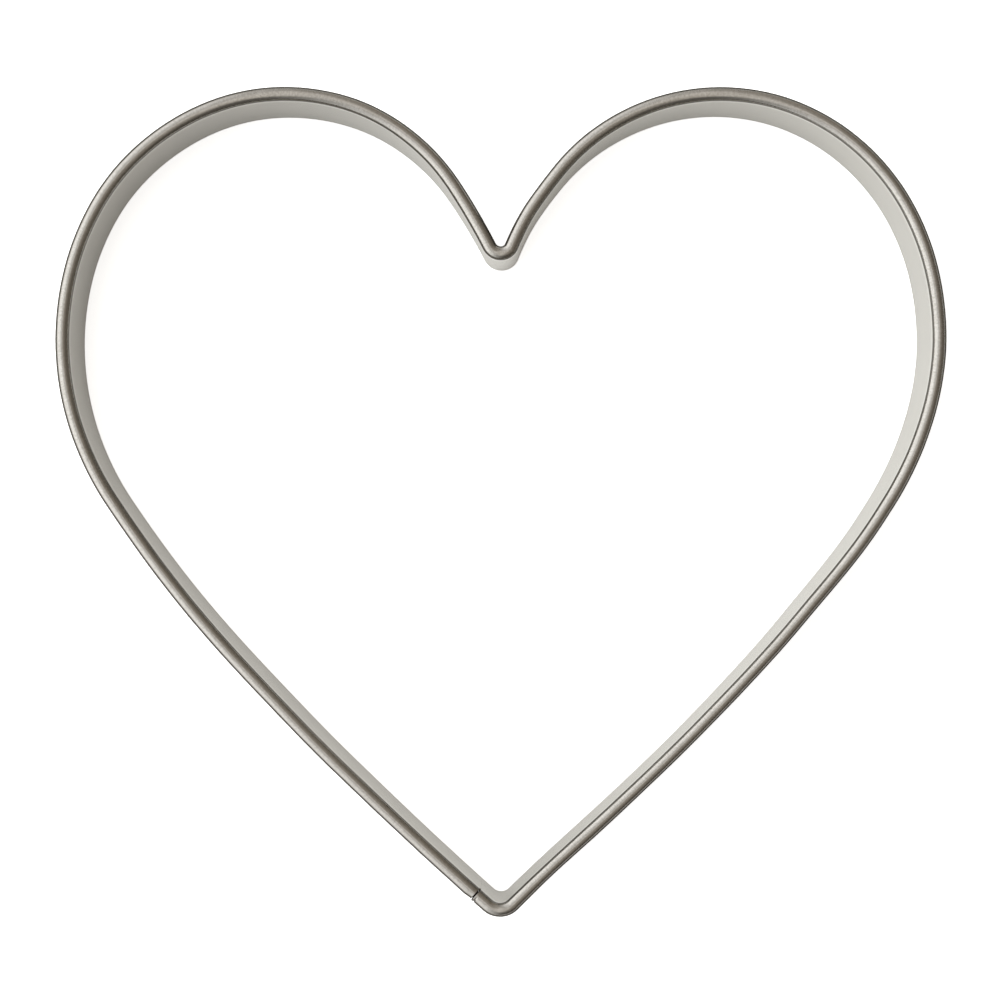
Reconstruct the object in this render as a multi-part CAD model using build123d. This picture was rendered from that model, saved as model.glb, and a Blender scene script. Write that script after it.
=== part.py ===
from build123d import *
import math
import os

# A heart-shaped cutter for pastry: one strip of thin steel, bent to a heart on edge,
# with its top edge rolled outward into a small hollow bead and its ends welded
# together beside the tip. The cutting edge lies at height zero, the cleft points
# to +Y and the tip to -Y, and the origin is under the middle of the outline.
# All lengths are in millimetres and all angles in degrees.

# Overall sizes, over the rolled rim
overall_width = 100.0
overall_length = 93.1
overall_height = 25.0

# The strip, and the bead rolled along its top edge
sheet_thickness = 0.3
rim_diameter = 1.6
rolled_edge_gap = 0.1

# The heart. Places across are shares of the half width, and places down are
# shares of the overall length, counted from the highest point of the lobes.
cleft_depth = 17.9
cleft_rim_radius = 0.6
cleft_half_turn = 64.1
lobe_top_across_share = 0.493
widest_down_share = 0.305
leg_start_across_share = 0.336
leg_start_down_share = 0.8185
tip_radius = 0.7

# How much of each stretch of two arcs its first arc takes
flank_share = 0.255
crown_share = 0.63
side_share = 0.326

# The seam across the straight left leg
seam_to_tip_bend = 2.2
seam_gap = 0.15

# The weld that closes the seam below the rim
weld_below_rim = 0.4
weld_bead_width = 0.8
weld_bead_rise = 0.12
weld_bead_above_edge = 0.6

# How far a cutting solid reaches past what it cuts
overrun = 2.0

# Worked out from the sizes above
rim_radius = rim_diameter / 2
rim_centre_height = overall_height - rim_radius
rim_bore_radius = rim_radius - sheet_thickness
half_width = overall_width / 2
half_length = overall_length / 2
weld_height = overall_height - rim_diameter - weld_below_rim
up = Vector(0, 0, 1)


def heading(degrees):
    """The level direction at an angle, counted from straight out to the right."""
    turn = math.radians(degrees)
    return Vector(math.cos(turn), math.sin(turn), 0)


def outward(way):
    """The side of a way of travel on which the outside of the heart lies."""
    return up.cross(way)


def two_arcs(start, start_way, end, end_way, first_share):
    """Two arcs that leave the start and reach the end in given directions and meet smoothly."""
    chord = end - start
    mean_way = start_way * first_share + end_way * (1 - first_share)
    along = chord.dot(mean_way)
    bend = 1 - mean_way.dot(mean_way)
    reach = (math.sqrt(along**2 + bend * chord.dot(chord)) - along) / bend
    first_corner = start + start_way * (reach * first_share)
    last_corner = end - end_way * (reach * (1 - first_share))
    between = last_corner - first_corner
    middle = first_corner + between * first_share
    return [
        TangentArc(start, middle, tangent=start_way),
        TangentArc(middle, end, tangent=between.normalized()),
    ]


def leg_to_tip(leg_start):
    """The direction of a straight leg that just touches the bend at the tip, and its end there."""
    tip_centre = Vector(0, rim_diameter + tip_radius - half_length, 0)
    to_centre = tip_centre - leg_start
    lean = math.degrees(math.asin(tip_radius / to_centre.length))
    leg_way = to_centre.normalized().rotate(Axis.Z, lean)
    leg_length = math.sqrt(to_centre.length**2 - tip_radius**2)
    return leg_way, leg_start + leg_way * leg_length


def right_half_line():
    """The inner face of the wall in plan, from the bottom of the cleft to the bottom of the tip."""
    cleft_radius = cleft_rim_radius + rim_diameter
    cleft_centre = Vector(0, half_length - cleft_depth + cleft_rim_radius, 0)
    cleft_bottom = cleft_centre - Vector(0, cleft_radius, 0)
    flank_start = cleft_centre - outward(heading(cleft_half_turn)) * cleft_radius
    lobe_top = Vector(half_width * lobe_top_across_share, half_length - rim_diameter, 0)
    widest = Vector(half_width - rim_diameter, half_length - overall_length * widest_down_share, 0)
    leg_start = Vector(
        half_width * leg_start_across_share,
        half_length - overall_length * leg_start_down_share,
        0,
    )
    leg_way, leg_end = leg_to_tip(leg_start)
    tip_bottom = Vector(0, rim_diameter - half_length, 0)
    return [
        TangentArc(cleft_bottom, flank_start, tangent=heading(0)),
        *two_arcs(flank_start, heading(cleft_half_turn), lobe_top, heading(0), flank_share),
        *two_arcs(lobe_top, heading(0), widest, heading(-90), crown_share),
        *two_arcs(widest, heading(-90), leg_start, leg_way, side_share),
        Line(leg_start, leg_end),
        TangentArc(leg_end, tip_bottom, tangent=leg_way),
    ]


def strip_section(place, way):
    """The strip cut across: a straight wall that runs on into the bead, open just beside the wall."""
    section_plane = Plane(origin=place, x_dir=outward(way), z_dir=way)
    bead_turn = 360 - math.degrees(math.acos((rim_bore_radius - rolled_edge_gap) / rim_radius))
    bead_centre = (rim_radius, rim_centre_height)
    bead_outside = CenterArc(bead_centre, rim_radius, 180, -bead_turn)
    bead_inside = CenterArc(bead_centre, rim_bore_radius, 180, -bead_turn)
    outline = [
        Line((0, 0), bead_outside @ 0),
        bead_outside,
        Line(bead_outside @ 1, bead_inside @ 1),
        bead_inside,
        Line(bead_inside @ 0, (sheet_thickness, 0)),
        Line((sheet_thickness, 0), (0, 0)),
    ]
    return section_plane * make_face(outline)


def strip_along(edge):
    """The strip along one arc or straight stretch of the heart."""
    way = (edge % 0).normalized()
    section = strip_section(edge @ 0, way)
    if edge.geom_type == GeomType.LINE:
        return extrude(section, amount=edge.length, dir=way)
    turns_left = way.cross(edge @ 1 - edge @ 0).Z > 0
    turn_axis = Axis(edge.arc_center, up if turns_left else -up)
    return revolve(section, turn_axis, math.degrees(edge.length / edge.radius))


def closed_band(half_line):
    """The whole heart, as if the strip had no ends."""
    right_half = Part() + [strip_along(edge) for edge in half_line]
    return right_half + mirror(right_half, about=Plane.YZ)


def seam_plane(leg):
    """On the left leg at the seam: outward, up, and along the leg away from the tip."""
    way = (leg % 1).normalized()
    place = leg @ 1 - way * seam_to_tip_bend
    left_place = Vector(-place.X, place.Y, 0)
    left_outward = Vector(-outward(way).X, outward(way).Y, 0)
    return Plane(origin=left_place, x_dir=left_outward, z_dir=left_outward.cross(up))


def seam_slit(seam):
    """The slit between the two ends of the strip, right through the wall and the rim."""
    reach = rim_diameter + 2 * overrun
    height = overall_height + 2 * overrun
    slit = Box(reach, height, seam_gap, align=(Align.MIN, Align.MIN, Align.CENTER))
    return seam * Pos(-overrun, -overrun, 0) * slit


def seam_weld(seam):
    """The weld: it fills the slit through the wall, flush inside, with a low round-ended bead outside."""
    filling = Box(sheet_thickness, weld_height, seam_gap, align=(Align.MIN, Align.MIN, Align.CENTER))
    half_bead = weld_bead_width / 2
    bead_radius = (half_bead**2 + weld_bead_rise**2) / (2 * weld_bead_rise)
    end_inset = weld_bead_above_edge + half_bead
    bead_run = weld_height - 2 * end_inset
    run = Cylinder(bead_radius, bead_run, align=(Align.CENTER, Align.CENTER, Align.MIN))
    rounded = run + Sphere(bead_radius) + Pos(0, 0, bead_run) * Sphere(bead_radius)
    buried = bead_radius - weld_bead_rise
    rounded = Pos(sheet_thickness - buried, end_inset, 0) * Rot(-90, 0, 0) * rounded
    outside_wall = Pos(sheet_thickness, 0, 0) * Box(
        bead_radius, weld_height, 2 * bead_radius, align=(Align.MIN, Align.MIN, Align.CENTER)
    )
    return seam * (filling + (rounded & outside_wall))


half_line = right_half_line()
seam = seam_plane(half_line[-2])
heart_band = closed_band(half_line) - seam_slit(seam)

os.makedirs("parts", exist_ok=True)
export_step(heart_band, "parts/heart_band.step")
export_step(seam_weld(seam), "parts/seam_weld.step")
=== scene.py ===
import math

import bpy
from mathutils import Matrix, Vector, noise


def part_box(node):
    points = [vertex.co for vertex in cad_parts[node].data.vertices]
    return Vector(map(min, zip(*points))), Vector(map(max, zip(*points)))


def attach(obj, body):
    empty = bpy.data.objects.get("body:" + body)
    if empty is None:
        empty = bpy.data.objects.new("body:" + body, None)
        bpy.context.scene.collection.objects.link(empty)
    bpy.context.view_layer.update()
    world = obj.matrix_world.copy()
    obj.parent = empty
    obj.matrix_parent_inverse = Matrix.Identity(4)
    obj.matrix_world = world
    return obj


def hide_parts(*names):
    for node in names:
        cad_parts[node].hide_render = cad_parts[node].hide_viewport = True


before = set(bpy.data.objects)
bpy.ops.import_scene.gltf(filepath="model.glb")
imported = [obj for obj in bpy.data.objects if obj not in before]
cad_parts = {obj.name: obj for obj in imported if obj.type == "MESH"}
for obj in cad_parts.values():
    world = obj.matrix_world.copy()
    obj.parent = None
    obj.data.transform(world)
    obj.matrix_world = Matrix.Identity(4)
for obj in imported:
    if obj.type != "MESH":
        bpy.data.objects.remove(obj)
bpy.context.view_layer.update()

MM = 0.001
UP = Vector((0, 0, 1))

# Overall sizes come from the solids, and the rest repeats the strip's own sizes.
band_low, band_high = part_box("heart_band")
HALF_WIDTH = (band_high[0] - band_low[0]) / 2
LENGTH = band_high[1] - band_low[1]
HALF_LENGTH = LENGTH / 2
HEIGHT = band_high[2] - band_low[2]
SHEET = 0.3 * MM
RIM = 1.6 * MM
ROLLED_EDGE_GAP = 0.1 * MM
RIM_RADIUS = RIM / 2
RIM_CENTRE = HEIGHT - RIM_RADIUS
BEAD_MIDDLE_RADIUS = RIM_RADIUS - SHEET / 2
BEAD_OPENING = math.acos((RIM_RADIUS - SHEET - ROLLED_EDGE_GAP) / RIM_RADIUS)
SHEET_REACH = RIM_CENTRE + (2 * math.pi - BEAD_OPENING) * BEAD_MIDDLE_RADIUS

# The heart's outline. Places are shares of half its width and of its length. The last three values
# say how much of the way from one place to the next the first of two arcs takes.
CLEFT_DEPTH = 17.9 * MM
CLEFT_RIM_RADIUS = 0.6 * MM
CLEFT_HALF_TURN = math.radians(64.1)
TIP_RADIUS = 0.7 * MM
LOBE_TOP_ACROSS_SHARE = 0.493
WIDEST_DOWN_SHARE = 0.305
LEG_START_ACROSS_SHARE = 0.336
LEG_START_DOWN_SHARE = 0.8185
FLANK_SHARE = 0.255
CROWN_SHARE = 0.63
SIDE_SHARE = 0.326

# The seam and its weld
SEAM_TO_TIP_BEND = 2.2 * MM
SEAM_GAP = 0.15 * MM
WELD_BELOW_RIM = 0.4 * MM
WELD_BEAD_WIDTH = 0.8 * MM
WELD_BEAD_RISE = 0.12 * MM
WELD_BEAD_ABOVE_EDGE = 0.6 * MM
WELD_TOP = HEIGHT - RIM - WELD_BELOW_RIM

# The bead's two ends at the seam: the long end is pinched, and the short one flared and creased.
PINCH = 0.09 * MM
PINCH_REACH = 1.1 * MM
FLARE = 0.05 * MM
FLARE_REACH = 0.2 * MM
CREASE = 0.11 * MM
CREASE_FROM_END = 0.32 * MM
CREASE_REACH = 0.17 * MM

# How far the slight waves of the strip go in and out. The bead is drawn in a little for them, so
# that it stays inside the box of the solids.
WALL_WAVE = 0.02 * MM
BEAD_WAVE = 0.01 * MM
BEAD_FINE_WAVE = 0.003 * MM
BEAD_DRAWN_IN = 0.008 * MM

# The strip was bent by hand, so its rim strays from the true heart, its cutting edge leans in or
# out under the rim, and its bead is squeezed narrower beside the cleft, along the right leg and
# beside the tip. Each such place stands here in mm: how far it lies clockwise along the strip from
# the tip, by how much the rim stands out, the edge leans in or the bead is narrower there, and how
# far along that dies away.
RIM_STRAYS = [
    (12, 0.27, 26),
    (50, 0.20, 20),
    (107, -0.29, 17),
    (131, 0.12, 10),
    (147, -0.10, 8),
    (160, 0.20, 6),
    (202, -0.06, 12),
    (215, 0.10, 10),
    (237, -0.21, 13),
    (251, 0.18, 10),
    (274, -0.08, 12),
    (292, 0.10, 12),
]
EDGE_LEANS = [(35, 0.15, 35), (97, -0.15, 26), (131, 0.22, 20), (164, -0.12, 14), (243, 0.33, 45)]
BEAD_SQUEEZES = [(164, 0.07, 8), (262, 0.12, 24), (286, 0.12, 24), (301, 0.10, 7)]


def way_at(angle):
    """The level direction at an angle from straight out to the right."""
    return Vector((math.cos(angle), math.sin(angle), 0))


def arc(start, way, end):
    """Length and curvature of the arc that leaves start in a given direction and ends at end."""
    chord = end - start
    half_turn = math.atan2(way.cross(chord).z, way.dot(chord))
    curvature = 2 * math.sin(half_turn) / chord.length
    return 2 * half_turn / curvature, curvature


def two_arcs(start, start_way, end, end_way, first_share):
    """Two arcs that leave the start and reach the end in given directions and meet smoothly."""
    chord = end - start
    mean_way = start_way * first_share + end_way * (1 - first_share)
    along = chord.dot(mean_way)
    bend = 1 - mean_way.dot(mean_way)
    reach = (math.sqrt(along**2 + bend * chord.dot(chord)) - along) / bend
    first_corner = start + start_way * (reach * first_share)
    last_corner = end - end_way * (reach * (1 - first_share))
    middle = first_corner.lerp(last_corner, first_share)
    return [
        arc(start, start_way, middle),
        arc(middle, (last_corner - first_corner).normalized(), end),
    ]


def right_half():
    """The wall's inner face from the cleft to the tip, as lengths with their curvatures."""
    cleft_radius = CLEFT_RIM_RADIUS + RIM
    cleft_centre = Vector((0, HALF_LENGTH - CLEFT_DEPTH + CLEFT_RIM_RADIUS, 0))
    flank_way = way_at(CLEFT_HALF_TURN)
    flank_start = cleft_centre - UP.cross(flank_way) * cleft_radius
    lobe_top = Vector((HALF_WIDTH * LOBE_TOP_ACROSS_SHARE, HALF_LENGTH - RIM, 0))
    widest = Vector((HALF_WIDTH - RIM, HALF_LENGTH - LENGTH * WIDEST_DOWN_SHARE, 0))
    leg_start = Vector(
        (HALF_WIDTH * LEG_START_ACROSS_SHARE, HALF_LENGTH - LENGTH * LEG_START_DOWN_SHARE, 0)
    )
    to_tip = Vector((0, RIM + TIP_RADIUS - HALF_LENGTH, 0)) - leg_start
    lean = math.asin(TIP_RADIUS / to_tip.length)
    leg_way = Matrix.Rotation(lean, 3, "Z") @ to_tip.normalized()
    right, down = way_at(0), way_at(-math.pi / 2)
    return [
        (cleft_radius * CLEFT_HALF_TURN, 1 / cleft_radius),
        *two_arcs(flank_start, flank_way, lobe_top, right, FLANK_SHARE),
        *two_arcs(lobe_top, right, widest, down, CROWN_SHARE),
        *two_arcs(widest, down, leg_start, leg_way, SIDE_SHARE),
        (math.sqrt(to_tip.length**2 - TIP_RADIUS**2), 0.0),
        (TIP_RADIUS * math.acos(-leg_way.x), -1 / TIP_RADIUS),
    ]


# The whole heart clockwise from the bottom of the tip, and where the strip's two ends lie on it
HALF = right_half()
TIP_BEND = HALF[-1][0]
LOOP = [*reversed(HALF), *HALF]
LOOP_LENGTH = sum(length for length, _ in LOOP)
SEAM_RUN = TIP_BEND + SEAM_TO_TIP_BEND
LONG_END = SEAM_RUN + SEAM_GAP / 2
SHORT_END = LOOP_LENGTH + SEAM_RUN - SEAM_GAP / 2


def travel(place, way, curvature, length):
    """Place and direction after some length of a bend."""
    if not curvature:
        return place + way * length, way
    turned = Matrix.Rotation(curvature * length, 3, "Z") @ way
    return place + UP.cross(way - turned) / curvature, turned


def heart_line():
    """Every bend of the strip with where it starts: run, length, curvature, place, direction."""
    bends = []
    place, way, run = Vector((0, RIM - HALF_LENGTH, 0)), way_at(math.pi), 0.0
    for length, curvature in [*LOOP, *LOOP[:2]]:
        bends.append((run, length, curvature, place, way))
        place, way = travel(place, way, curvature, length)
        run += length
    return bends


BENDS = heart_line()


def on_line(run):
    """Place and direction on the heart line at a run from the bottom of the tip."""
    for start, length, curvature, place, way in BENDS:
        if run <= start + length:
            break
    return travel(place, way, curvature, run - start)


def smooth(x):
    """Rises softly from 0 to 1 while x does."""
    x = min(max(x, 0.0), 1.0)
    return x * x * (3 - 2 * x)


def swell(bends, run):
    """What a list of slight bends adds up to at a run."""
    total = 0.0
    for place, height, reach in bends:
        away = abs((run - place * MM + LOOP_LENGTH / 2) % LOOP_LENGTH - LOOP_LENGTH / 2)
        total += height * MM * (1 - smooth(away / (reach * MM)))
    return total


def stray(run):
    """How the strip strays at a run: out from the true heart, in at its cutting edge, and along.

    The bottom of the tip keeps its place: the bend there only grows in radius, and the strip
    beside it slides along a little to make room.
    """
    slide_fade = 2 * MM
    run %= LOOP_LENGTH
    from_tip = min(run, LOOP_LENGTH - run)
    turn = min(from_tip, TIP_BEND) / TIP_RADIUS
    growth = swell(RIM_STRAYS, run) / (1 - math.cos(TIP_BEND / TIP_RADIUS))
    slide = growth * math.sin(turn) * (1 - smooth((from_tip - TIP_BEND) / slide_fade))
    along = slide if run == from_tip else -slide
    return growth * (1 - math.cos(turn)), swell(EDGE_LEANS, run), along


def strip_runs():
    """Where the strip is cut into rings: fine round the bends and at the two ends."""
    longest, finest, end_zone = 1.0 * MM, 0.04 * MM, 1.2 * MM
    turn_step, crowding = math.radians(3), 1.3
    runs = []
    for start, length, curvature, _, _ in BENDS:
        low, high = max(start, LONG_END), min(start + length, SHORT_END)
        if high <= low:
            continue
        count = math.ceil(max((high - low) / longest, abs(curvature) * (high - low) / turn_step))
        runs += [low + (high - low) * i / count for i in range(count)]
    runs = [run for run in runs if LONG_END + end_zone < run < SHORT_END - end_zone]
    count = round(end_zone / finest)
    ends = [end_zone * (i / count) ** crowding for i in range(count + 1)]
    return [LONG_END + d for d in ends] + runs + [SHORT_END - d for d in reversed(ends)]


def section_line():
    """The middle of the sheet cut across, from the cutting edge up the wall and round the bead.

    Each point has its distance along the sheet, its place outward and up, and the direction,
    outward and up, of the face that is the wall's inside and the bead's outside.
    """
    edge_steps = [step * MM for step in (0, 0.012, 0.04, 0.12, 0.4)]
    wall_step, under_bead, bead_steps = 1.7 * MM, 0.15 * MM, 62
    wall_count = round((RIM_CENTRE - edge_steps[-1]) / wall_step)
    wall_rise = (RIM_CENTRE - under_bead - edge_steps[-1]) / wall_count
    heights = edge_steps + [edge_steps[-1] + wall_rise * (i + 1) for i in range(wall_count)]
    heights.append(RIM_CENTRE)
    points = [(height, SHEET / 2, height, -1.0, 0.0) for height in heights]
    reach, last_steps = SHEET_REACH - RIM_CENTRE, edge_steps[:-1]
    steps = [reach * (i + 1) / bead_steps for i in range(bead_steps - 1)]
    steps = [step for step in steps if step < reach - last_steps[-1]]
    steps += [reach - step for step in reversed(last_steps)]
    for step in steps:
        angle = math.pi - step / BEAD_MIDDLE_RADIUS
        across, up = math.cos(angle), math.sin(angle)
        place = (RIM_RADIUS + BEAD_MIDDLE_RADIUS * across, RIM_CENTRE + BEAD_MIDDLE_RADIUS * up)
        points.append((RIM_CENTRE + step, *place, across, up))
    return points


def eased(distance):
    """How far a face of the sheet draws back at a distance from an edge worn slightly round."""
    ease = 0.04 * MM
    return ease - math.sqrt(ease**2 - (ease - distance) ** 2) if distance < ease else 0.0


def soft_wave(run, distance, length, height, layer):
    """Soft noise from -1 to 1 on the sheet, in waves so many mm long along it and high up it."""
    return noise.noise(Vector((run / (length * MM), distance / (height * MM), layer)))


def unevenness(run, distance):
    """The slight waves that bending and rolling leave in the strip, along its length and up it."""
    edge_fade, bead_fade_start, bead_fade = 3 * MM, RIM_CENTRE - 1.5 * MM, 2 * MM
    bead = smooth((distance - bead_fade_start) / bead_fade)
    wall = smooth(distance / edge_fade) * (1 - bead)
    long_wave = soft_wave(run, distance, 9, 12, layer=3.1)
    short_wave = soft_wave(run, distance, 2.4, 1.6, layer=7.7)
    fine_wave = soft_wave(run, distance, 0.9, 0.8, layer=1.9)
    bead_waves = BEAD_WAVE * short_wave + BEAD_FINE_WAVE * fine_wave - BEAD_DRAWN_IN
    return wall * WALL_WAVE * long_wave + bead * bead_waves


def end_shape(run, across, up):
    """How the bead is pinched at the strip's long end, and flared and creased at its short end."""
    starts, whole = 0.3 * RIM, 0.8 * RIM
    rise = max(0.0, up - RIM_CENTRE + RIM_RADIUS)
    outer = smooth((across - starts) / (whole - starts)) * smooth(rise / RIM_RADIUS)
    from_long, from_short = run - LONG_END, SHORT_END - run
    pinch = PINCH * (1 - smooth(from_long / PINCH_REACH))
    flare = FLARE * (1 - smooth(from_short / FLARE_REACH))
    crease = CREASE * (1 - smooth(abs(from_short - CREASE_FROM_END) / CREASE_REACH))
    return outer * (flare - crease - pinch)


def end_stretch(run):
    """How much a ring shares in closing the slit: all at the two ends and none away from them."""
    zone = 1.0 * MM
    return 1 - smooth((SHORT_END - run) / zone) - (1 - smooth((run - LONG_END) / zone))


def slit_open(distance):
    """Where up the sheet the slit stays open: 1 on top of the bead and 0 away from it."""
    opens_before, opens_within, shuts_after, shuts_within = 0.4 * MM, 0.2 * MM, 0.5 * MM, 0.3 * MM
    outer_side = RIM_CENTRE + math.pi * BEAD_MIDDLE_RADIUS
    opened = smooth((distance - RIM_CENTRE + opens_before) / opens_within)
    return opened * smooth((outer_side + shuts_after - distance) / shuts_within)


def closing(distance, on_hollow_side):
    """How far each end of the strip reaches into the slit, all of the way on the hollow's side."""
    left_open, shuts_within = 0.01 * MM, 0.1 * MM
    shut = SEAM_GAP / 2 - left_open
    if not on_hollow_side:
        shut *= 1 - slit_open(distance)
    return shut * smooth((distance - WELD_TOP) / shuts_within)


def strip_point(run, place, outward, point, half, out, lean):
    """One place on the sheet's middle, and how far out its two faces lie there."""
    distance, across, up, face_across, face_up = point
    across *= 1 - swell(BEAD_SQUEEZES, run) / RIM
    across += out - lean * (1 - up / HEIGHT)
    shift = unevenness(run, distance)
    across, up = across + face_across * shift, up + face_up * shift
    across += end_shape(run, across - out, up)
    middle = place + outward * across + UP * up
    return middle, (outward * face_across + UP * face_up) * half


def new_object(name, vertices, faces, uvs, material, node):
    """A closed mesh that stands for a solid, with a map of its surface in metres."""
    mesh = bpy.data.meshes.new(name)
    mesh.from_pydata(vertices, [], faces)
    mesh.polygons.foreach_set("use_smooth", [True] * len(mesh.polygons))
    layer = mesh.uv_layers.new(name="surface")
    layer.data.foreach_set("uv", [n for loop in mesh.loops for n in uvs[loop.vertex_index]])
    mesh.materials.append(material)
    made = bpy.data.objects.new(name, mesh)
    bpy.context.scene.collection.objects.link(made)
    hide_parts(node)
    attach(made, "root")
    return made


def strip_faces(rings, around):
    """The faces of the strip's closed skin: both sides of the sheet, its edges and its two ends."""
    def corner(ring, step, side):
        return (ring * around + step) * 2 + side

    faces = []
    for ring in range(rings - 1):
        for step in range(around - 1):
            a, b = (ring, step), (ring, step + 1)
            c, d = (ring + 1, step + 1), (ring + 1, step)
            faces.append([corner(*p, 0) for p in (a, b, c, d)])
            faces.append([corner(*p, 1) for p in (d, c, b, a)])
        for step in (0, around - 1):
            near, far = (ring, step), (ring + 1, step)
            loop = [corner(*near, 0), corner(*far, 0), corner(*far, 1), corner(*near, 1)]
            faces.append(loop if step == 0 else loop[::-1])
    for step in range(around - 1):
        for ring in (0, rings - 1):
            low, high = (ring, step), (ring, step + 1)
            loop = [corner(*low, 0), corner(*low, 1), corner(*high, 1), corner(*high, 0)]
            faces.append(loop if ring == 0 else loop[::-1])
    return faces


def heart_band(material):
    """The strip of steel, cut edges and hollow bead included, as one closed skin."""
    section, runs = section_line(), strip_runs()
    end_face = 0.03 * MM
    vertices, uvs, hollows = [], [], []
    for run in runs:
        place, way = on_line(run)
        outward = UP.cross(way)
        stretch, (out, lean, slide) = end_stretch(run), stray(run)
        place = place + way * slide
        from_slit = min(run - LONG_END, SHORT_END - run)
        for point in section:
            distance = point[0]

            # Below the weld's top the strip's ends aren't worn round, because they lie in the weld.
            from_end = from_slit if distance >= WELD_TOP else SHEET
            half = SHEET / 2 - eased(min(distance, SHEET_REACH - distance, from_end))
            middle, face = strip_point(run, place, outward, point, half, out, lean)

            # The bead's inside and the ends in the open slit are marked as lying in the hollow,
            # where the material paints shade.
            in_slit = slit_open(distance) if from_slit < end_face else 0.0
            for side, v in ((1, distance), (-1, distance + 2 * SHEET_REACH)):
                reach = stretch * closing(distance, side < 0)
                vertices.append(middle + face * side + way * reach)
                uvs.append((run, v))
                inside = smooth((distance - RIM_CENTRE) / RIM_RADIUS) if side < 0 else 0.0
                hollows.append(max(inside, in_slit))
    faces = strip_faces(len(runs), len(section))
    band = new_object(
        "heart_band_steel", vertices, faces, uvs, material, "heart_band"
    )
    in_hollow = band.data.attributes.new("in_hollow", "FLOAT", "POINT")
    in_hollow.data.foreach_set("value", hollows)


def weld_profile(height):
    """The weld cut across at a height: each point's place along the strip and outward."""
    half_bead, half_slit, least, crown_steps = WELD_BEAD_WIDTH / 2, SEAM_GAP / 2, 0.006 * MM, 12
    ripple_length, ripple_rise, ripple_sweep = 0.34 * MM, 0.012 * MM, 0.9
    wander_share, wander_length, wander_layer = 0.03, 2.6 * MM, 4.2
    inset = min(height, WELD_TOP - height) - WELD_BEAD_ABOVE_EDGE
    into = min(max(inset / half_bead, 0.0), 1.0)
    share = math.sqrt(1 - (1 - into) ** 2)
    wander = wander_share * noise.noise(Vector((height / wander_length, 0, wander_layer)))
    half = max(half_slit + least, half_bead * share * (1 + wander))
    profile = [(-half_slit, 0.0), (half_slit, 0.0), (half_slit, SHEET), (half, SHEET)]
    for step in range(1, crown_steps):
        side = 1 - 2 * step / crown_steps
        crown = 1 - side * side
        wave = math.sin(2 * math.pi * (height + ripple_sweep * half * side * side) / ripple_length)
        rise = share * crown * (WELD_BEAD_RISE + ripple_rise * (wave - 1))
        profile.append((side * half, SHEET + max(rise, least * crown)))
    return profile + [(-half, SHEET), (-half_slit, SHEET)]


def seam_weld(material):
    """The weld: a filled slit through the wall and a low rippled bead along the outside."""
    row_step = 0.06 * MM
    rows = round(WELD_TOP / row_step)
    place, way = on_line(SEAM_RUN)
    outward = UP.cross(way)
    out, lean, _ = stray(SEAM_RUN)
    vertices, uvs = [], []
    for row in range(rows + 1):
        height = WELD_TOP * row / rows
        profile = weld_profile(height)
        round_weld, before = 0.0, profile[0]
        for along, across in profile:
            round_weld += math.hypot(along - before[0], across - before[1])
            before = (along, across)
            strayed = across + out - lean * (1 - height / HEIGHT)
            vertices.append(place - way * along + outward * strayed + UP * height)
            uvs.append((round_weld, height))
    around = len(profile)
    faces = []
    for row in range(rows):
        for step in range(around):
            after = (step + 1) % around
            low, high = row * around, (row + 1) * around
            faces.append([low + step, low + after, high + after, high + step])
    first, last = list(range(around)), [rows * around + i for i in range(around)]
    faces += [first[::-1], last]
    new_object("seam_weld_bead", vertices, faces, uvs, material, "seam_weld")


def linear(hex_colour):
    """An sRGB colour such as C8C4BC as the linear values that the shaders take."""
    channels = [int(hex_colour[i:i + 2], 16) / 255 for i in (0, 2, 4)]
    return (*[c / 12.92 if c <= 0.04045 else ((c + 0.055) / 1.055) ** 2.4 for c in channels], 1.0)


def result(node):
    """The output that carries a node's result: the third where it mixes colours, else the first."""
    return node.outputs[2 if getattr(node, "data_type", "") == "RGBA" else 0]


def add_node(tree, kind, inputs=(), **settings):
    """Adds a node with its settings, and gives its inputs, in order or by key, values or links."""
    node = tree.nodes.new(kind)
    for name, value in settings.items():
        setattr(node, name, value)
    pairs = inputs.items() if isinstance(inputs, dict) else enumerate(inputs)
    for key, value in pairs:
        if isinstance(value, bpy.types.Node):
            value = result(value)
        if isinstance(value, bpy.types.NodeSocket):
            tree.links.new(value, node.inputs[key])
        else:
            node.inputs[key].default_value = value
    return node


# Settings of two kinds of node. A soft range takes a value, where it starts and ends, and what it
# goes from and to there. A mix takes its share in input 0, and its two colours in 6 and 7 or its
# two numbers in 2 and 3.
SOFT = {"interpolation_type": "SMOOTHSTEP"}
COLOURS = {"data_type": "RGBA"}


def new_material(name):
    """An empty node material and its tree, with only the output left in it."""
    material = bpy.data.materials.new(name)
    material.use_nodes = True
    tree = material.node_tree
    for node in list(tree.nodes):
        if node.type != "OUTPUT_MATERIAL":
            tree.nodes.remove(node)
    return material, tree, tree.nodes["Material Output"]


def marks(tree, surface, along, across, detail):
    """Soft marks on the sheet, with one length along the strip and another across it."""
    scale = (1 / along, 1 / across, 1)
    place = add_node(tree, "ShaderNodeMapping", {"Vector": surface, "Scale": scale})
    return add_node(tree, "ShaderNodeTexNoise", {"Vector": place, "Scale": 1.0, "Detail": detail})


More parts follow.
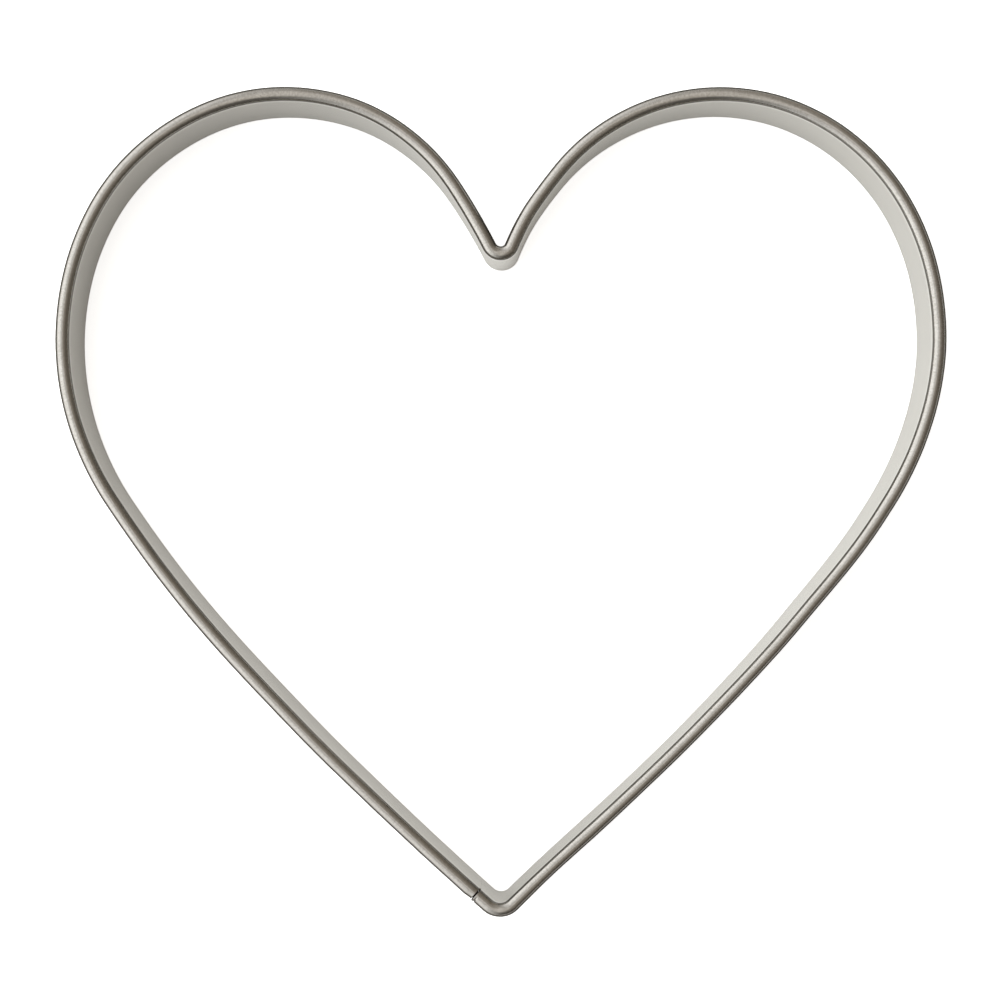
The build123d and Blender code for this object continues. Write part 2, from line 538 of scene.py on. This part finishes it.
def steel_colour(tree, up_sheet, on_bead, tone):
    """Warm grey between two tones, a little lighter on the bead, with a painted highlight under the
    bead and painted shade towards the cutting edge.
    """
    wall_tones = {0: tone, 6: linear("A29F94"), 7: linear("AEABA0")}
    bead_tones = {0: tone, 6: linear("A5A29B"), 7: linear("BAB7B1")}
    wall = add_node(tree, "ShaderNodeMix", wall_tones, **COLOURS)
    bead = add_node(tree, "ShaderNodeMix", bead_tones, **COLOURS)
    colour = add_node(tree, "ShaderNodeMix", {0: on_bead, 6: wall, 7: bead}, **COLOURS)

    # Painted highlight: the top of the wall just under the bead is painted lighter, where it would
    # catch a brighter reflection.
    highlight_start, highlight_end, highlight_share = RIM_CENTRE - 2.6 * MM, RIM_CENTRE - 0.3 * MM, 0.7
    highlight_range = [up_sheet, highlight_start, highlight_end, 0.0, highlight_share]
    painted_highlight_ramp = add_node(tree, "ShaderNodeMapRange", highlight_range, **SOFT)
    off_bead = add_node(tree, "ShaderNodeMath", [1.0, on_bead], operation="SUBTRACT")
    painted_highlight = add_node(tree, "ShaderNodeMath", [painted_highlight_ramp, off_bead], operation="MULTIPLY")
    painted_highlight_tones = {0: painted_highlight, 6: colour, 7: linear("D8D5CE")}
    colour = add_node(tree, "ShaderNodeMix", painted_highlight_tones, **COLOURS)

    # Painted shade: the wall is painted darker towards its cutting edge, where it meets the table.
    foot_shade_height, foot_shade_share = 1.6 * MM, 0.3
    foot_shade_range = [up_sheet, 0.0, foot_shade_height, foot_shade_share, 0.0]
    painted_foot_shade = add_node(tree, "ShaderNodeMapRange", foot_shade_range, **SOFT)
    return add_node(tree, "ShaderNodeMix", {0: painted_foot_shade, 6: colour, 7: linear("2A2825")}, **COLOURS)


def painted_edge_cover(tree, up_sheet, rolled, facing):
    """How far painted shade takes the place of the shine at the bead's two edges, a little more at
    its outer one.
    """
    outer_start, outer_end, outer_share = RIM_CENTRE + 1.1 * MM, RIM_CENTRE + 1.5 * MM, 0.11
    edge_start, edge_end = 0.34, 0.68
    outer_side = [up_sheet, outer_start, outer_end, 0.0, outer_share]
    outer = add_node(tree, "ShaderNodeMapRange", outer_side, **SOFT)
    turned = add_node(tree, "ShaderNodeMath", [facing, outer], operation="ADD")
    edge_range = [turned, edge_start, edge_end, 0.0, 1.0]
    near_edge = add_node(tree, "ShaderNodeMapRange", edge_range, **SOFT)
    return add_node(tree, "ShaderNodeMath", [rolled, near_edge], operation="MULTIPLY")


def fine_marks(tree, surface, on_bead):
    """Fine specks, and on the bead also fine scratches across it, drawn coarser than they are."""
    scratch_share = 0.45
    specks = marks(tree, surface, along=0.28 * MM, across=0.16 * MM, detail=2.0)
    scratches = marks(tree, surface, along=0.15 * MM, across=0.45 * MM, detail=2.0)
    scratched = add_node(tree, "ShaderNodeMath", [on_bead, scratch_share], operation="MULTIPLY")
    return add_node(tree, "ShaderNodeMix", {0: scratched, 2: specks, 3: scratches})


def mottled_tone(tree, surface, fine):
    """Light and dark as pickling leaves them, in patches of a few mm and in the fine marks."""
    patch_share, darkest, lightest = 0.3, 0.4, 0.9
    patches = marks(tree, surface, along=2.2 * MM, across=1.6 * MM, detail=2.0)
    marked = [patches, patch_share, fine]
    mottle = add_node(tree, "ShaderNodeMath", marked, operation="MULTIPLY_ADD")
    return add_node(tree, "ShaderNodeMapRange", [mottle, darkest, lightest, 0.0, 1.0], **SOFT)


def satin_shine(tree, surface, colour, tone, fine):
    """The shine of rolled steel: a long fine grain along the strip spreads the highlights."""
    rough_dark, rough_light = 0.19, 0.165
    grain = marks(tree, surface, along=3 * MM, across=0.14 * MM, detail=3.0)
    height = add_node(tree, "ShaderNodeMath", [fine, grain], operation="ADD")
    relief = {"Strength": 0.12, "Distance": 0.01 * MM, "Height": height}
    bump = add_node(tree, "ShaderNodeBump", relief)
    along_strip = add_node(tree, "ShaderNodeTangent", direction_type="UV_MAP", uv_map="surface")
    roughness_range = [tone, 0.0, 1.0, rough_dark, rough_light]
    roughness = add_node(tree, "ShaderNodeMapRange", roughness_range, **SOFT)
    return add_node(
        tree, "ShaderNodeBsdfPrincipled",
        {
            "Base Color": colour,
            "Metallic": 1.0,
            "Roughness": roughness,
            "Anisotropic": 0.5,
            "Anisotropic Rotation": 0.25,
            "Normal": bump,
            "Tangent": along_strip,
        },
    )


def satin_rolled_stainless():
    """Stainless strip as it leaves the rolls: warm grey, satin, and slightly mottled."""
    material, tree, output = new_material("satin_rolled_stainless")
    surface = add_node(tree, "ShaderNodeUVMap", uv_map="surface")
    up_sheet = add_node(tree, "ShaderNodeSeparateXYZ", [surface]).outputs["Y"]
    hollow = add_node(tree, "ShaderNodeAttribute", attribute_name="in_hollow").outputs["Fac"]
    facing = add_node(tree, "ShaderNodeLayerWeight", {"Blend": 0.5}).outputs["Facing"]
    bead_start, bead_end = RIM_CENTRE - 0.02 * MM, RIM_CENTRE + 0.06 * MM
    rolled_start, rolled_end = RIM_CENTRE + 0.04 * MM, RIM_CENTRE + 0.3 * MM
    bead_range = [up_sheet, bead_start, bead_end, 0.0, 1.0]
    rolled_range = [up_sheet, rolled_start, rolled_end, 0.0, 1.0]
    on_bead = add_node(tree, "ShaderNodeMapRange", bead_range, **SOFT)
    rolled = add_node(tree, "ShaderNodeMapRange", rolled_range, **SOFT)

    fine = fine_marks(tree, surface, on_bead)
    tone = mottled_tone(tree, surface, fine)
    colour = steel_colour(tree, up_sheet, on_bead, tone)

    # Painted shade: the bead's colour darkens towards its edges as they turn away from the camera.
    shade_start, shade_end, shade_share = 0.22, 0.62, 0.8
    shade_range = [facing, shade_start, shade_end, 0.0, shade_share]
    painted_edge_ramp = add_node(tree, "ShaderNodeMapRange", shade_range, **SOFT)
    painted_edge_darkening = add_node(tree, "ShaderNodeMath", [rolled, painted_edge_ramp], operation="MULTIPLY")
    colour = add_node(tree, "ShaderNodeMix", {0: painted_edge_darkening, 6: colour, 7: linear("2A2825")}, **COLOURS)

    # Painted shade: inside the hollow bead and on the ends in the open slit the steel is painted
    # dark.
    colour = add_node(tree, "ShaderNodeMix", {0: hollow, 6: colour, 7: linear("24211D")}, **COLOURS)

    steel = satin_shine(tree, surface, colour, tone, fine)

    # Painted shade: at the bead's edges and in the hollow, a dark matt shader takes the place of
    # the shine.
    hollow_shade_share = 0.85
    painted_shade_tones = {0: hollow, 6: linear("46433D"), 7: linear("2A2825")}
    painted_shade_colour = add_node(tree, "ShaderNodeMix", painted_shade_tones, **COLOURS)
    painted_shade_bsdf = add_node(tree, "ShaderNodeBsdfDiffuse", {"Color": painted_shade_colour})
    painted_edge_cover_share = painted_edge_cover(tree, up_sheet, rolled, facing)
    hollow_shade = add_node(tree, "ShaderNodeMath", [hollow, hollow_shade_share], operation="MULTIPLY")
    painted_shade_share = add_node(tree, "ShaderNodeMath", [painted_edge_cover_share, hollow_shade], operation="MAXIMUM")
    both = add_node(tree, "ShaderNodeMixShader", [painted_shade_share, steel, painted_shade_bsdf])
    tree.links.new(result(both), output.inputs["Surface"])
    return material


def frosted_weld_steel():
    """Weld metal: rippled, a little duller and warmer than the strip, and dressed smooth inside."""
    smooth_inside, rough_outside = 0.18, 0.4
    material, tree, output = new_material("frosted_weld_steel")
    surface = add_node(tree, "ShaderNodeUVMap", uv_map="surface")
    round_weld = add_node(tree, "ShaderNodeSeparateXYZ", [surface]).outputs["X"]
    outside_range = [round_weld, SEAM_GAP, SEAM_GAP + SHEET / 2, 0.0, 1.0]
    outside = add_node(tree, "ShaderNodeMapRange", outside_range, **SOFT)
    frost = marks(tree, surface, along=0.12 * MM, across=0.12 * MM, detail=3.0)
    straw_tones = {0: frost, 6: linear("9E968A"), 7: linear("B8B2A6")}
    straw = add_node(tree, "ShaderNodeMix", straw_tones, **COLOURS)
    colour = add_node(tree, "ShaderNodeMix", {0: outside, 6: linear("AFABA2"), 7: straw}, **COLOURS)
    relief = {"Strength": 0.3, "Distance": 0.01 * MM, "Height": frost}
    bump = add_node(tree, "ShaderNodeBump", relief)
    roughness_range = [outside, 0.0, 1.0, smooth_inside, rough_outside]
    roughness = add_node(tree, "ShaderNodeMapRange", roughness_range, **SOFT)
    weld = add_node(
        tree, "ShaderNodeBsdfPrincipled",
        {"Base Color": colour, "Metallic": 1.0, "Roughness": roughness, "Normal": bump},
    )
    tree.links.new(result(weld), output.inputs["Surface"])
    return material


def matt_white_table():
    """A matt white table with soft shadows: paper white to the camera, a little less in steel."""
    camera_lift, steel_lift = 0.75, 0.135
    material, tree, output = new_material("matt_white_table")
    paper = add_node(tree, "ShaderNodeBsdfDiffuse", {"Color": linear("F6F6F4")})
    rays = add_node(tree, "ShaderNodeLightPath").outputs
    mirrored = [rays["Is Glossy Ray"], rays["Is Transmission Ray"]]
    in_steel = add_node(tree, "ShaderNodeMath", mirrored, operation="MAXIMUM")
    in_steel = add_node(tree, "ShaderNodeMath", [in_steel, steel_lift], operation="MULTIPLY")
    to_camera = [rays["Is Camera Ray"], camera_lift, in_steel]
    lift = add_node(tree, "ShaderNodeMath", to_camera, operation="MULTIPLY_ADD")
    glow = add_node(tree, "ShaderNodeEmission", {"Color": linear("FFFFFF"), "Strength": lift})
    both = add_node(tree, "ShaderNodeAddShader", [paper, glow])
    tree.links.new(result(both), output.inputs["Surface"])
    return material


def table():
    """The table that the cutter stands on. It isn't part of the object."""
    side = 6.0
    bpy.ops.mesh.primitive_plane_add(size=side)
    floor = bpy.context.object
    floor.name = "table"
    floor.data.materials.append(matt_white_table())


def studio_tent():
    """A soft tent of light: bright low on the left, dim and warm on the right, a strip overhead."""
    world = bpy.data.worlds.new("studio_tent")
    world.use_nodes = True
    tree = world.node_tree
    look = add_node(tree, "ShaderNodeTexCoord").outputs["Generated"]
    way = add_node(tree, "ShaderNodeSeparateXYZ", [look]).outputs

    # Where each light starts and ends on the way right, back or up, from -1 to 1, and its strength
    right_edge, right_middle, right_dimmest, right_brightest = 0.85, 0.15, 0.2, 0.5
    front_edge, front_middle, front_share = -0.85, -0.4, 0.32
    left_middle, left_edge, left_brightest = 0.14, -0.8, 1.4
    strip_edge, strip_middle, strip_low, strip_high, strip_brightest = 0.16, 0.04, 0.5, 0.95, 0.42
    warm_right, cool_left = 0.7, -0.5

    # The right side dims outwards and towards the front, and the left side brightens outwards.
    right_range = [way["X"], right_edge, right_middle, right_dimmest, right_brightest]
    right_side = add_node(tree, "ShaderNodeMapRange", right_range, **SOFT)
    front_range = [way["Y"], front_edge, front_middle, front_share, 1.0]
    front = add_node(tree, "ShaderNodeMapRange", front_range, **SOFT)
    left_range = [way["X"], left_middle, left_edge, 0.0, left_brightest]
    left_side = add_node(tree, "ShaderNodeMapRange", left_range, **SOFT)
    all_sides = [right_side, front, left_side]
    sides = add_node(tree, "ShaderNodeMath", all_sides, operation="MULTIPLY_ADD")

    # The strip overhead is narrow from left to right.
    off_middle = add_node(tree, "ShaderNodeMath", [way["X"]], operation="ABSOLUTE")
    narrow_range = [off_middle, strip_edge, strip_middle, 0.0, strip_brightest]
    narrow = add_node(tree, "ShaderNodeMapRange", narrow_range, **SOFT)
    overhead_range = [way["Z"], strip_low, strip_high, 0.0, 1.0]
    overhead = add_node(tree, "ShaderNodeMapRange", overhead_range, **SOFT)
    strip = add_node(tree, "ShaderNodeMath", [narrow, overhead], operation="MULTIPLY")
    strength = add_node(tree, "ShaderNodeMath", [sides, strip], operation="ADD")

    warmth_range = [way["X"], warm_right, cool_left, 0.0, 1.0]
    leftward = add_node(tree, "ShaderNodeMapRange", warmth_range, **SOFT)
    tints = {0: leftward, 6: linear("FFF2E2"), 7: linear("FCFCFD")}
    colour = add_node(tree, "ShaderNodeMix", tints, **COLOURS)
    air = tree.nodes["Background"]
    tree.links.new(result(strength), air.inputs["Strength"])
    tree.links.new(result(colour), air.inputs["Color"])
    bpy.context.scene.world = world


def overhead_lamp():
    """A soft lamp near the camera, so that the walls on its side throw a short shadow on the table.

    By itself it lights a white table to table_share of full white.
    """
    side, table_share = 0.26, 0.26
    place = Vector((-0.13, 0.12, 1.2))
    lamp_data = bpy.data.lights.new("overhead_lamp", "AREA")
    lamp_data.shape = "SQUARE"
    lamp_data.size = side
    lamp_data.energy = table_share * math.pi * math.pi * place.length**2
    lamp = bpy.data.objects.new("overhead_lamp", lamp_data)
    lamp.location = place
    lamp.rotation_euler = place.to_track_quat("Z", "Y").to_euler()
    lamp.visible_camera = lamp.visible_glossy = False
    bpy.context.scene.collection.objects.link(lamp)


def camera_above():
    """The camera, straight above at arm's length, leaning less than a degree."""
    sensor_width, focal_share = 36.0, 6.056
    place = Vector((3.2 * MM, -6.83 * MM, HEIGHT + 678.2 * MM))
    aim = Vector((-0.07 * MM, 0.17 * MM, HEIGHT))
    roll = math.radians(0.074)
    camera_data = bpy.data.cameras.new("camera")
    camera_data.sensor_width = sensor_width
    camera_data.lens = focal_share * sensor_width
    camera = bpy.data.objects.new("camera", camera_data)
    camera.location = place
    back = (place - aim).normalized()
    right = Matrix.Rotation(roll, 3, back) @ Vector((0, 1, 0)).cross(back).normalized()
    camera.rotation_mode = "QUATERNION"
    turn = Matrix((right, back.cross(right), back)).transposed()
    camera.rotation_quaternion = turn.to_quaternion()
    bpy.context.scene.collection.objects.link(camera)
    bpy.context.scene.camera = camera


heart_band(satin_rolled_stainless())
seam_weld(frosted_weld_steel())
table()
studio_tent()
overhead_lamp()
camera_above()
bpy.context.scene.view_settings.view_transform = "Standard"
